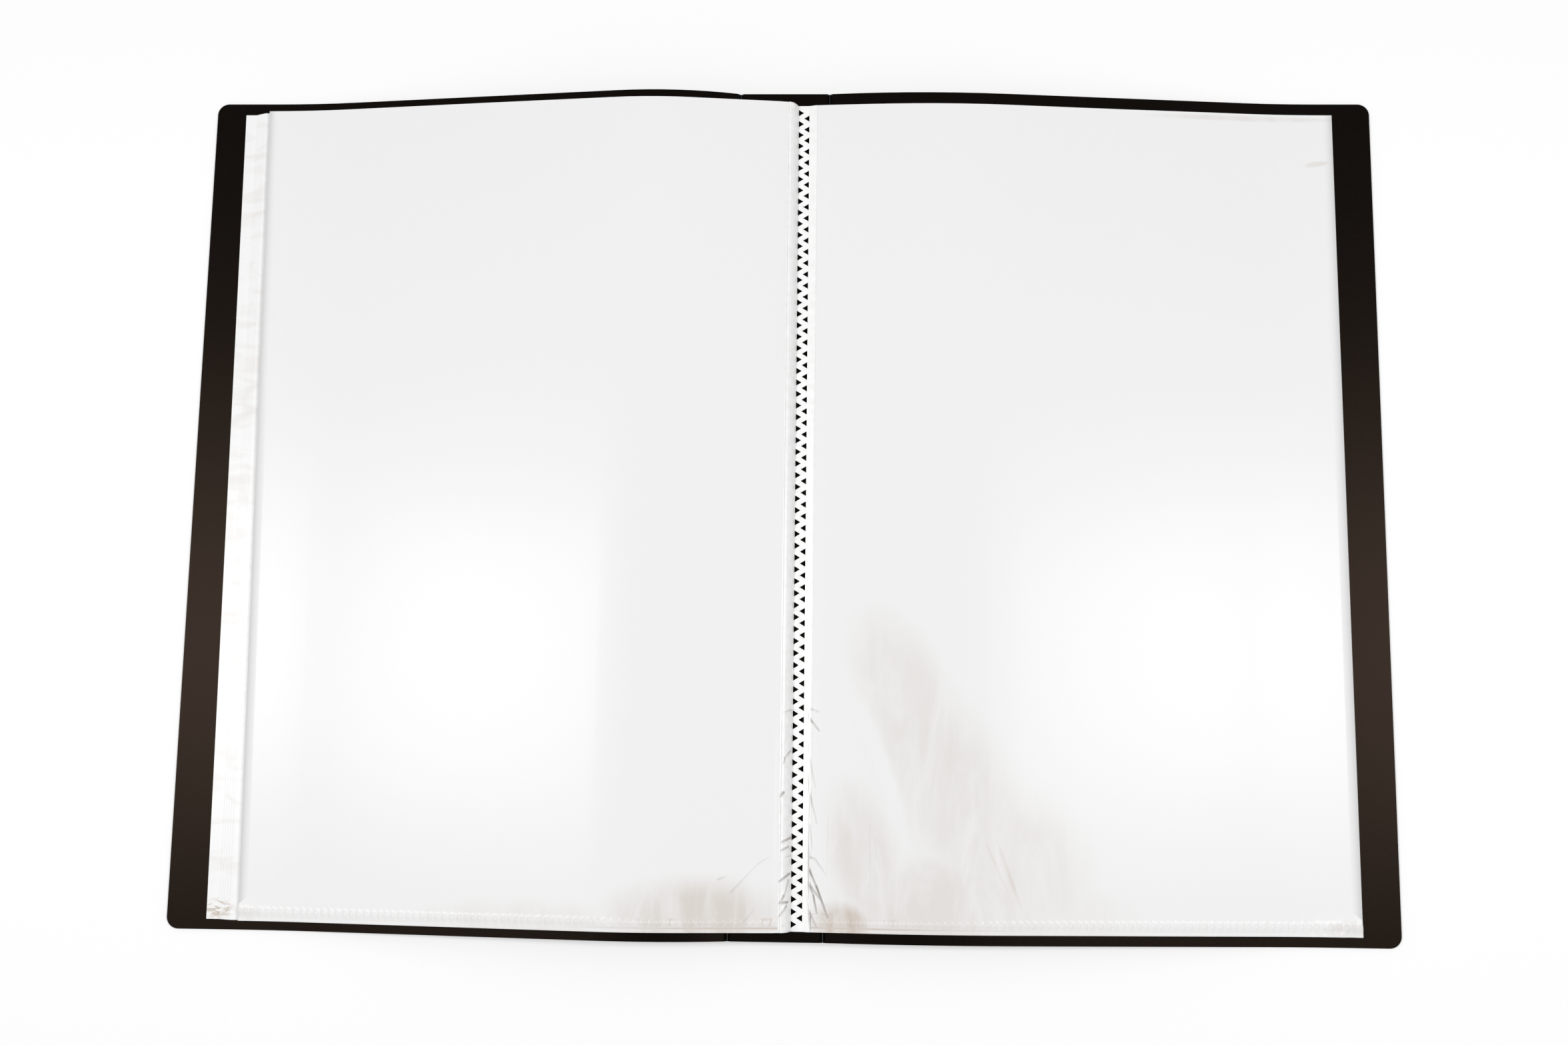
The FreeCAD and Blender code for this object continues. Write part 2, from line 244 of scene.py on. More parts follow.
def sanded_polypropylene():
    """Black polypropylene sheet with a fine sanded face: dull, with a broad weak sheen."""
    cover = bpy.context.scene.album_cover
    # The warm specular tint is a painted warm tint on the sheen, standing in for warm lamplight.
    material, tree, shader = start_material(
        "sanded polypropylene", Roughness=0.35, IOR=1.49, Specular_IOR_Level=0.1,
        Specular_Tint=rgba("#ffd6ba"))
    place = add_node(tree, "ShaderNodeTexCoord").outputs["Object"]
    # drawn coarser than a real grain, so that it can be seen from above the table
    grain = add_node(tree, "ShaderNodeTexNoise",
                     {"Vector": place, "Scale": 1 / cover.grain, "Detail": 2.0})
    dark = [c * GRAIN_DARK for c in cover.colour]
    pale = [c * GRAIN_PALE for c in cover.colour]
    shade = two_tone(tree, grain, dark, pale)
    tree.links.new(mixed(tree, crease_line(tree, place), shade, cover.stressed),
                   shader.inputs["Base Color"])
    bump = add_node(tree, "ShaderNodeBump", {
        "Height": grain.outputs["Fac"], "Strength": 0.3, "Distance": FACE_RELIEF})
    tree.links.new(bump.outputs["Normal"], shader.inputs["Normal"])
    return material


def crease_line(tree, place):
    """1 along the two creases of the cover and 0 elsewhere."""
    cover = bpy.context.scene.album_cover
    low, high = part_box("back_hinge_web")
    across = add_node(tree, "ShaderNodeSeparateXYZ", {"Vector": place}).outputs["X"]
    out = worked_out(tree, "ABSOLUTE", across)
    off = worked_out(tree, "SUBTRACT", out, (low.x + high.x) / 2)
    away = worked_out(tree, "ABSOLUTE", off)
    return worked_out(tree, "LESS_THAN", away, cover.crease_width / 2)


def stressed_web():
    """Polypropylene drawn thin in a living hinge: paler in fine streaks, slightly glossy."""
    material, tree, shader = start_material("stressed polypropylene", Roughness=0.4, IOR=1.49)
    place = add_node(tree, "ShaderNodeTexCoord").outputs["Object"]
    streaks = add_node(tree, "ShaderNodeTexNoise",
                       {"Vector": place, "Scale": 700.0, "Detail": 2.0})
    tree.links.new(two_tone(tree, streaks, "#0c0c0c", "#2a2a2b"), shader.inputs["Base Color"])
    return material


def cast_film(name, opacity, opened):
    """Cast polypropylene film: clear and glossy, with faint drawing lines along the page, and
    painted reflection grey and painted crease shade in its colour.
    """
    film = bpy.context.scene.album_film
    material, tree, shader = start_material(
        name, Roughness=0.24, IOR=1.49, Specular_IOR_Level=0.17)
    place = add_node(tree, "ShaderNodeTexCoord").outputs["Object"]
    drawn = add_node(tree, "ShaderNodeMapping", {"Vector": place, "Scale": (1.0, 0.05, 1.0)})
    lines = add_node(tree, "ShaderNodeTexNoise",
                     {"Vector": drawn.outputs[0], "Scale": 420.0, "Detail": 2.0})
    bump = add_node(tree, "ShaderNodeBump", {
        "Height": lines.outputs["Fac"], "Strength": 0.1, "Distance": FACE_RELIEF})
    tree.links.new(bump.outputs["Normal"], shader.inputs["Normal"])
    # Painted reflection and painted shade: the grey patches, the tail seam and the crushed
    # corner.
    share = reflection_and_shade_share(tree, place) if opened else closed_leaf_reflection_and_shade(tree, place)
    tree.links.new(creased(tree, mixed(tree, share, film.colour, film.reflection_and_shade_grey)),
                   shader.inputs["Base Color"])
    # The film grows more opaque where its painted grey is, so that the painted reflection hides
    # the sheet.
    hidden = add_node(tree, "ShaderNodeMapRange",
                      {"Value": share, "To Min": opacity, "To Max": PAINTED_GREY_OPACITY})
    tree.links.new(hidden.outputs[0], shader.inputs["Alpha"])
    return material


def mixed(tree, share, first, second):
    """Mixes two colours; each is a colour value or a linked socket."""
    paint = add_node(tree, "ShaderNodeMix", data_type="RGBA")
    tree.links.new(share, paint.inputs[0])
    for socket, colour in ((paint.inputs[6], first), (paint.inputs[7], second)):
        if isinstance(colour, bpy.types.NodeSocket):
            tree.links.new(colour, socket)
        else:
            socket.default_value = rgba(colour if isinstance(colour, str) else tuple(colour))
    return paint.outputs[2]


def creased(tree, colour):
    """Paints shade along the sharp creases: thin grey lines in clear film."""
    crease = add_node(tree, "ShaderNodeAttribute", attribute_name=CREASE)
    line = add_node(tree, "ShaderNodeMapRange", {
        "Value": crease.outputs["Fac"], "From Min": 0.05, "From Max": 0.7, "To Max": 0.9})
    return mixed(tree, line.outputs[0], colour, bpy.context.scene.album_film.crease_shade_colour)


def closed_leaf_reflection_and_shade(tree, place):
    """Faint painted clouds of reflection grey on the film of a closed leaf, and painted shade of
    crushed film at its corner.
    """
    wide = add_node(tree, "ShaderNodeMapping", {"Vector": place, "Scale": (40.0, 120.0, 1.0)})
    cloud = add_node(tree, "ShaderNodeTexNoise", {
        "Vector": wide.outputs[0], "Scale": 1.0, "Detail": 3.0, "Distortion": 1.2})
    clouds = add_node(tree, "ShaderNodeMapRange", {
        "Value": cloud.outputs["Fac"], "From Min": 0.48, "From Max": 0.75, "To Max": 0.25})
    corner = worked_out(
        tree, "MULTIPLY", oval(tree, place, CRUSHED_CORNER_SHADE), crushed(tree, place))
    return worked_out(tree, "MAXIMUM", clouds.outputs[0], corner)


def crushed(tree, place):
    """Painted shade of short wrinkles of crushed film."""
    squeezed = add_node(tree, "ShaderNodeMapping",
                        {"Vector": place, "Scale": (260.0, 700.0, 1.0)})
    wrinkles = add_node(tree, "ShaderNodeTexNoise", {
        "Vector": squeezed.outputs[0], "Scale": 1.0, "Detail": 2.0, "Distortion": 0.8})
    return add_node(tree, "ShaderNodeMapRange", {
        "Value": wrinkles.outputs["Fac"], "From Min": 0.46, "From Max": 0.6}).outputs[0]


# Painted reflections and painted shade on the film of the open pages: where it looks grey.
# Each patch is an oval: its middle across the book and above the tail, its half width and
# half height, its tilt in degrees, and how strongly it shows.
REFLECTION_AND_SHADE_PATCHES = [
    (52, 84, 18, 42, 24, 0.32), (66, 56, 24, 46, 30, 0.32), (88, 24, 32, 34, 34, 0.28),
    (62, 10, 40, 20, 0, 0.42), (66, 62, 14, 34, 27, 0.36), (34, 28, 14, 30, 14, 0.4),
    (25, 3, 12, 9, 0, 1.0),
    (112, 6, 28, 12, 0, 0.14), (89, 23, 1.0, 19, 20, 0.55), (84, 26, 0.8, 14, 23, 0.5),
    (-30, 6, 34, 14, 0, 0.66), (-96, 3, 44, 8, 0, 0.2), (-206, 3, 6, 3, 0, 0.25),
    (218, 309, 5, 1.2, 8, 0.45), (188, 328, 40, 1.3, 0, 0.35),
    (220, 3, 9, 3, 0, 0.35),
]
# A streak where the painted reflection grey is taken away.
REFLECTION_GAP = (40, 64, 4, 32, 20, 1.0)
# Painted shade of crushed film at the tail corner of the closed leaves.
CRUSHED_CORNER_SHADE = (-219, 4, 7, 4, 0, 1.0)
# An oval fades between these distances from its middle, as shares of its half size.
OVAL_CORE, OVAL_EDGE = 0.45, 1.25
# The folds that break up the painted reflection grey slant by this angle.
FOLD_TILT = math.radians(-24)


def oval(tree, place, patch):
    """1 in the middle of an oval patch and 0 outside it, times its strength."""
    across, up, half_wide, half_tall, tilt, strength = patch
    centred = add_node(tree, "ShaderNodeMapping", {
        "Vector": place, "Location": (across * MM, TAIL + up * MM, 0.0),
        "Rotation": (0.0, 0.0, math.radians(tilt)),
        "Scale": (half_wide * MM, half_tall * MM, 1.0)}, vector_type="TEXTURE")
    flat = add_node(tree, "ShaderNodeVectorMath",
                    {0: centred.outputs[0], 1: (1.0, 1.0, 0.0)}, operation="MULTIPLY")
    away = add_node(tree, "ShaderNodeVectorMath", {0: flat.outputs[0]}, operation="LENGTH")
    return add_node(tree, "ShaderNodeMapRange", {
        "Value": away.outputs["Value"], "From Min": OVAL_EDGE, "From Max": OVAL_CORE,
        "To Max": strength}, interpolation_type="SMOOTHSTEP").outputs[0]


def reflection_and_shade_share(tree, place):
    """How much painted reflection and painted shade the film has: soft ovals broken by slanting
    folds, and the painted shade of the tail seam.
    """
    slanted = add_node(tree, "ShaderNodeMapping", {
        "Vector": place, "Rotation": (0.0, 0.0, FOLD_TILT),
        "Scale": (90.0, 26.0, 1.0)})
    folds = add_node(tree, "ShaderNodeTexNoise", {
        "Vector": slanted.outputs[0], "Scale": 1.0, "Detail": 6.0, "Roughness": 0.62,
        "Distortion": 0.9})
    broken = add_node(tree, "ShaderNodeMapRange", {
        "Value": folds.outputs["Fac"], "From Min": 0.36, "From Max": 0.6,
        "To Min": 0.38}).outputs[0]
    total = oval(tree, place, REFLECTION_AND_SHADE_PATCHES[0])
    for patch in REFLECTION_AND_SHADE_PATCHES[1:]:
        total = worked_out(tree, "MAXIMUM", total, oval(tree, place, patch))
    clear = worked_out(tree, "SUBTRACT", 1.0, oval(tree, place, REFLECTION_GAP))
    for part in (broken, clear):
        total = worked_out(tree, "MULTIPLY", total, part)
    # Painted shade of the tail seam.
    seam = add_node(tree, "ShaderNodeAttribute", attribute_name=SEAM_SHADE).outputs["Fac"]
    return worked_out(tree, "MAXIMUM", total, seam)


def fused_film():
    """Film layers fused by the welding tool: milky white with a softly pressed face."""
    material, tree, shader = start_material("fused film", Roughness=0.22, IOR=1.49)
    place = add_node(tree, "ShaderNodeTexCoord").outputs["Object"]
    pressed = add_node(tree, "ShaderNodeTexNoise",
                       {"Vector": place, "Scale": 380.0, "Detail": 2.0})
    milky = two_tone(tree, pressed, "#f8f8f7", "#ffffff")
    # The weld's flanks get painted crease shade as well.
    tree.links.new(creased(tree, milky), shader.inputs["Base Color"])
    bump = add_node(tree, "ShaderNodeBump", {
        "Height": pressed.outputs["Fac"], "Strength": 0.4, "Distance": WELD_RELIEF})
    tree.links.new(bump.outputs["Normal"], shader.inputs["Normal"])
    return material


def mark_wall():
    """Cut edge of clear fused film: it carries the black of the cover below up the hole."""
    material, tree, shader = start_material("cut edge of film", Roughness=0.5, IOR=1.49)
    place = add_node(tree, "ShaderNodeTexCoord").outputs["Object"]
    uneven = add_node(tree, "ShaderNodeTexNoise", {"Vector": place, "Scale": 900.0})
    tree.links.new(two_tone(tree, uneven, "#050505", "#1c1a19"), shader.inputs["Base Color"])
    return material


def insert_paper():
    """Bright uncoated paper: matt white with a faint cloudy fibre."""
    material, tree, shader = start_material("insert paper", Roughness=0.9)
    place = add_node(tree, "ShaderNodeTexCoord").outputs["Object"]
    fibre = add_node(tree, "ShaderNodeTexNoise",
                     {"Vector": place, "Scale": 900.0, "Detail": 4.0})
    tree.links.new(two_tone(tree, fibre, "#fafaf9", "#ffffff"), shader.inputs["Base Color"])
    return material


# ------------------------------------------------------------------ shapes
def node_copy(node_name, wanted=None):
    """A merged copy of a node's mesh; its flat stretches are made whole where wanted."""
    mesh = bmesh.new()
    mesh.from_mesh(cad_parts[node_name].data)
    bmesh.ops.remove_doubles(mesh, verts=mesh.verts, dist=MERGE)
    verts = [vert for vert in mesh.verts if wanted is None or wanted(vert.co)]
    edges = [edge for edge in mesh.edges
             if wanted is None or all(wanted(vert.co) for vert in edge.verts)]
    bmesh.ops.dissolve_limit(mesh, angle_limit=FLAT, verts=verts, edges=edges)
    return mesh


def new_piece(name, mesh, body, material, slot, *nodes):
    """Makes the finished mesh an object that rides on a body in place of the nodes."""
    data = bpy.data.meshes.new(name)
    mesh.to_mesh(data)
    mesh.free()
    for face in data.polygons:
        face.use_smooth = True
    data.set_sharp_from_angle(angle=SHARP)
    data.materials.append(material)
    piece = bpy.data.objects.new(name, data)
    bpy.context.scene.collection.objects.link(piece)
    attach(piece, body)
    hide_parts(*nodes)
    return piece


def dress(node_name, material):
    """Gives a node of the frame its material."""
    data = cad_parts[node_name].data
    data.materials.clear()
    data.materials.append(material)


def surface_of(node_name):
    """A function that gives a node's lowest and highest face over a point, or None."""
    mesh = bmesh.new()
    mesh.from_mesh(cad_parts[node_name].data)
    tree = BVHTree.FromBMesh(mesh)
    mesh.free()
    far = 1.0

    def heights(x, y):
        high = tree.ray_cast(Vector((x, y, far)), Vector((0, 0, -1)))[0]
        low = tree.ray_cast(Vector((x, y, -far)), Vector((0, 0, 1)))[0]
        return (low.z, high.z) if low and high else None

    return heights


def middle_of(face):
    return face.calc_center_median()


def steps(low, high, step):
    """Evenly spaced places between two ends, both left out."""
    count = max(1, round((high - low) / step))
    return [low + (high - low) * n / count for n in range(1, count)]


def cut(mesh, axis, places):
    """Cuts the whole mesh square to an axis at each place."""
    square = Vector([float(letter == axis) for letter in "xyz"])
    for place in places:
        geometry = [*mesh.verts, *mesh.edges, *mesh.faces]
        bmesh.ops.bisect_plane(
            mesh, geom=geometry, dist=MERGE, plane_co=square * place, plane_no=square)


def divide(mesh, faces, across, along):
    """Divides the faces into rows and columns: one step across the book, one along it."""
    for lengthwise, step in ((True, along), (False, across)):
        groups = {}
        chosen = {edge for face in faces() for edge in face.edges}
        # taken in the mesh's own order, so that each run numbers the faces alike
        for edge in [edge for edge in mesh.edges if edge in chosen]:
            run = edge.verts[1].co - edge.verts[0].co
            if lengthwise == (abs(run.y) > 0.5 * run.length):
                cuts = round(round(run.length / MM, 2) * MM / step) - 1
                if cuts > 0:
                    groups.setdefault(cuts, []).append(edge)
        for cuts, edges in groups.items():
            bmesh.ops.subdivide_edges(mesh, edges=edges, cuts=cuts, use_grid_fill=True)


def between(low, high, value):
    """0 below the low value, 1 above the high one, and a smooth change between them."""
    share = max(0.0, min(1.0, (value - low) / (high - low)))
    return share * share * (3 - 2 * share)


# ------------------------------------------------------------------ creases in the film
# The finely cut stretches of an open page, in millimetres: out from its root, and up
# from the tail for the creases and for the seam.
GUTTER_FILM, CREASED_FILM, SEAM_FILM = 34, 95, 6.6

# The fused band of the open weld strip and its marks, in millimetres: the band's edges
# across the book, from its middle to a column of marks, and from one mark to the next.
BAND_LOW, BAND_HIGH = 5.0, 9.4
BAND_MIDDLE = (BAND_LOW + BAND_HIGH) / 2
BAND_HALF = (BAND_HIGH - BAND_LOW) / 2
MARK_COLUMN, MARK_PITCH = 1.075, 4.7

# The tail seam, in millimetres above the tail: where it ends, the row of beads and its
# spread, and the groove below the beads and its spread.
SEAM_END = 6.5
BEADS_UP, BEADS_SPREAD = 3.6, 1.1
GROOVE_UP, GROOVE_SPREAD = 1.7, 0.5

CREASE_REACH = 2.5  # half widths, beyond which a crease isn't felt
CREASE_FADE = 0.5  # share of its height that a crease loses along its length

# A crease runs from one point to another. Each point is millimetres out from the nearer
# edge of the weld and millimetres above the tail; the last value is its share of the
# height of the sharpest crease.
RIGHT_CREASES = [
    (0.0, 29.0, 5.1, 27.3, 0.6), (0.4, 32.0, 2.7, 29.0, 0.5), (0.7, 27.3, 5.3, 17.4, 1.0),
    (5.3, 17.4, 9.7, 5.8, 0.9), (0.7, 22.7, 4.2, 14.0, 0.9), (4.2, 14.0, 5.6, 7.0, 0.8),
    (3.0, 17.4, 8.8, 9.9, 0.6), (5.3, 26.7, 9.1, 21.5, 0.3), (0.4, 10.5, 3.0, 5.8, 0.8),
    (3.0, 5.8, 3.0, 1.2, 0.6), (1.6, 9.9, 5.3, 2.3, 0.7), (0.7, 82.8, 5.9, 76.2, 0.7),
    (2.4, 84.6, 5.9, 83.4, 0.4), (1.6, 70.0, 4.5, 54.6, 0.35), (1.9, 54.6, 5.3, 40.7, 0.4),
    (2.4, 40.7, 3.6, 31.4, 0.3), (9.4, 44.0, 9.4, 14.5, 0.13), (25.6, 41.0, 25.9, 2.0, 0.13),
    (27.8, 36.0, 28.3, 3.0, 0.11),
]
LEFT_CREASES = [
    (0.6, 35.2, 3.5, 34.0, 0.9), (1.2, 32.0, 3.8, 30.8, 0.7), (0.3, 28.5, 2.3, 28.2, 0.4),
    (0.6, 22.0, 4.4, 19.2, 0.9), (0.9, 19.5, 2.6, 14.0, 0.5), (2.6, 14.0, 4.1, 11.0, 0.7),
    (1.2, 11.3, 4.4, 11.3, 0.9), (1.7, 9.9, 4.4, 6.1, 0.6), (0.9, 68.0, 2.8, 65.7, 0.6),
    (2.8, 65.7, 3.1, 64.0, 0.6), (3.1, 52.6, 4.2, 51.2, 0.8), (0.6, 84.0, 3.0, 83.2, 0.5),
    (22.8, 15.0, 12.7, 25.6, 0.25), (12.7, 25.6, 7.4, 29.0, 0.2), (17.6, 4.0, 13.9, 8.7, 0.25),
    (27.8, 19.8, 24.3, 21.0, 0.3),
]


def lean(y):
    """How far the weld stands to the right of its middle line at a place along it."""
    weld = bpy.context.scene.album_weld
    up = (y - TAIL) / (HEAD - TAIL)
    return weld.tail_lean + up * (weld.head_lean - weld.tail_lean)


def crease_lines():
    """The creases as pairs of points in metres, with their share of the height."""
    found = []
    for side, edge, creases in ((-1, BAND_LOW, LEFT_CREASES), (1, BAND_HIGH, RIGHT_CREASES)):
        for out_1, up_1, out_2, up_2, share in creases:
            y_1, y_2 = TAIL + up_1 * MM, TAIL + up_2 * MM
            x_1 = (edge + side * out_1) * MM + lean(y_1)
            x_2 = (edge + side * out_2) * MM + lean(y_2)
            found.append((x_1, y_1, x_2, y_2, share))
    return found


def crease_share(x, y, creases, half_width):
    """Share of the full height, 0 to 1, that the creases give a point of the film."""
    most = 0.0
    reach = CREASE_REACH * half_width
    for x_1, y_1, x_2, y_2, share in creases:
        if not min(x_1, x_2) - reach < x < max(x_1, x_2) + reach:
            continue
        if not min(y_1, y_2) - reach < y < max(y_1, y_2) + reach:
            continue
        run_x, run_y = x_2 - x_1, y_2 - y_1
        along = ((x - x_1) * run_x + (y - y_1) * run_y) / (run_x ** 2 + run_y ** 2)
        along = max(0.0, min(1.0, along))
        away = math.hypot(x - x_1 - run_x * along, y - y_1 - run_y * along) / half_width
        most = max(most, share * (1 - CREASE_FADE * along) * math.exp(-away * away))
    return most


def bead_share(x, y):
    """How high the tail seam stands at a point: 1 on top of a bead, 0 between two beads."""
    up = (y - TAIL) / MM
    if up > SEAM_END:
        return 0.0
    drift = noise.noise(Vector((x / (9 * MM), 0.0, 5.0)))
    turn = (x / bpy.context.scene.album_film.bead_pitch + 0.35 * drift) * 2 * math.pi
    row = math.exp(-((up - BEADS_UP) / BEADS_SPREAD) ** 2)
    return row * (0.5 + 0.5 * math.cos(turn)) ** 0.7


def painted_seam_shade(x, y):
    """Painted shade of the tail seam: most between the beads and in the groove below them."""
    up = (y - TAIL) / MM
    if up > SEAM_END:
        return 0.0
    lively = 0.12 + 0.88 * between(105 * MM, 25 * MM, abs(x - BAND_MIDDLE * MM))
    beaded = between(6.2, 5.0, up) * between(2.0, 2.6, up) * (1 - 1.3 * bead_share(x, y))
    groove = math.exp(-((up - GROOVE_UP) / GROOVE_SPREAD) ** 2)
    patchy = 0.7 + noise.noise(Vector((x / (6 * MM), 0.0, 9.0)))
    return lively * max(0.0, 0.7 * patchy * beaded, groove)


def film_lift(x, y, left):
    """How far the upper film of an open page stands above its flat place, without creases."""
    film = bpy.context.scene.album_film
    wave = noise.noise(Vector((x / (70 * MM), y / (110 * MM), 3.0 if left else 8.0)))
    beads = film.bead_height * bead_share(x, y)
    return film.ripple * (0.5 + wave) + beads + corner_crumple(x, y)


def corner_crumple(x, y):
    """Crushed film at the outer tail corners of both open pages."""
    inner, wide, tall = 196 * MM, 24 * MM, 9 * MM
    near = between(0, wide, abs(x) - inner) * between(tall, 1 * MM, y - TAIL)
    if near == 0:
        return 0.0
    rough = noise.noise(Vector((x / (2.6 * MM), y / (3.4 * MM), 1.0)))
    height = 0.5 * MM
    return near * height * max(0.0, 0.35 + rough)


# ------------------------------------------------------------------ operators
class ALBUM_OT_cover(bpy.types.Operator):
    """Sanded black polypropylene on both panels and the spine, and a web in each crease"""

    bl_idname = "album.cover"
    bl_label = "Finish the cover"
    fullness = 1.4  # radius of a drawn web against the plain one

    def execute(self, context):
        black = sanded_polypropylene()
        for node_name in ("front_cover_panel", "spine_panel", "back_cover_panel"):
            dress(node_name, black)
        worn = stressed_web()
        for side in ("front", "back"):
            self.web(side, worn)
        return {"FINISHED"}

    def web(self, side, material):
        """A round web that fills its crease, so that no light comes through."""
        node_name = side + "_hinge_web"
        low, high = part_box(node_name)
        radius = (high.z - low.z) / 2 * self.fullness
        mesh = bmesh.new()
        place = Matrix.Translation((low + high) / 2) @ Matrix.Rotation(math.pi / 2, 4, "X")
        bmesh.ops.create_cone(
            mesh, cap_ends=True, segments=12, radius1=radius, radius2=radius,
            depth=high.y - low.y, matrix=place)
        new_piece(side + "_crease_web", mesh, "spine", material, "cover_plastic", node_name)


class ALBUM_OT_weld_strips(bpy.types.Operator):
    """The hidden weld strip as it is, and the open one with its creased film flanks"""

    bl_idname = "album.weld_strips"
    bl_label = "Crease the film beside the weld"

    def execute(self, context):
        film = context.scene.album_film
        fused = fused_film()
        dress("weld_strip_1", fused)
        mesh = node_copy("weld_strip_2", lambda place: self.out(place) > 0.01)
        flank = mesh.faces.layers.int.new("flank")
        for face in mesh.faces:
            face[flank] = self.out(middle_of(face)) > 0 and face.normal.z > 0.3
        divide(mesh, lambda: [face for face in mesh.faces if face[flank]],
               film.fine_step, film.fine_step * 1.5)
        crease = mesh.verts.layers.float.new(CREASE)
        creases = crease_lines()
        low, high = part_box("weld_strip_2")
        for face in mesh.faces:
            inside = max(abs(vert.co.x / MM - BAND_MIDDLE) for vert in face.verts)
            wall = inside < BAND_HALF - 0.05 and abs(face.normal.z) < 0.5
            face.material_index = int(wall)
        raised = {vert for face in mesh.faces if face[flank] for vert in face.verts}
        for vert in mesh.verts:
            out = self.out(vert.co)
            if out < -0.05:
                self.widen_mark(vert)
                vert.co.x += lean(vert.co.y)
                continue
            outer = low.x / MM if vert.co.x / MM < BAND_MIDDLE else high.x / MM
            reach = abs(outer - BAND_MIDDLE) - BAND_HALF
            vert.co.x += max(0.0, 1 - out / reach) * lean(vert.co.y)
            if vert in raised:
                if vert.co.x / MM < BAND_MIDDLE:
                    arch = math.sin(math.pi * min(1.0, out / reach))
                    vert.co.z += context.scene.album_weld.billow * arch * (high.z - vert.co.z)
                vert[crease] = crease_share(
                    vert.co.x, vert.co.y, creases, film.crease_half_width)
                rise = self.slack(vert.co) + film.crease_height * vert[crease]
                vert.co.z += between(0.05, 0.8, out) * rise
        piece = new_piece("open_weld_strip", mesh, "spine", fused, "weld_film", "weld_strip_2")
        piece.data.materials.append(mark_wall())
        return {"FINISHED"}

    def widen_mark(self, vert):
        """Moves one corner of a weld mark away from the middle of that mark."""
        growth = bpy.context.scene.album_weld.mark_growth
        across = vert.co.x / MM - BAND_MIDDLE
        shift = 0.5 if across < 0 else 0.0
        column = BAND_MIDDLE + math.copysign(MARK_COLUMN, across)
        row = (round(vert.co.y / MM / MARK_PITCH - shift) + shift) * MARK_PITCH
        vert.co.x = (column + (vert.co.x / MM - column) * (1 + (growth - 1) / 2)) * MM
        vert.co.y = (row + (vert.co.y / MM - row) * growth) * MM

    def out(self, place):
        """Millimetres from the band of the open weld strip, less than 0 on it."""
        return max(BAND_LOW - place.x / MM, place.x / MM - BAND_HIGH)

    def slack(self, place):
        """Loose crinkles beside the band, livelier towards the tail."""
        loose = noise.noise(Vector((place.x / (2.0 * MM), place.y / (7 * MM), 2.0)))
        lively = 0.3 + 0.7 * between(100 * MM, 20 * MM, place.y - TAIL)
        return 0.25 * MM * lively * max(0.0, 0.5 + loose)


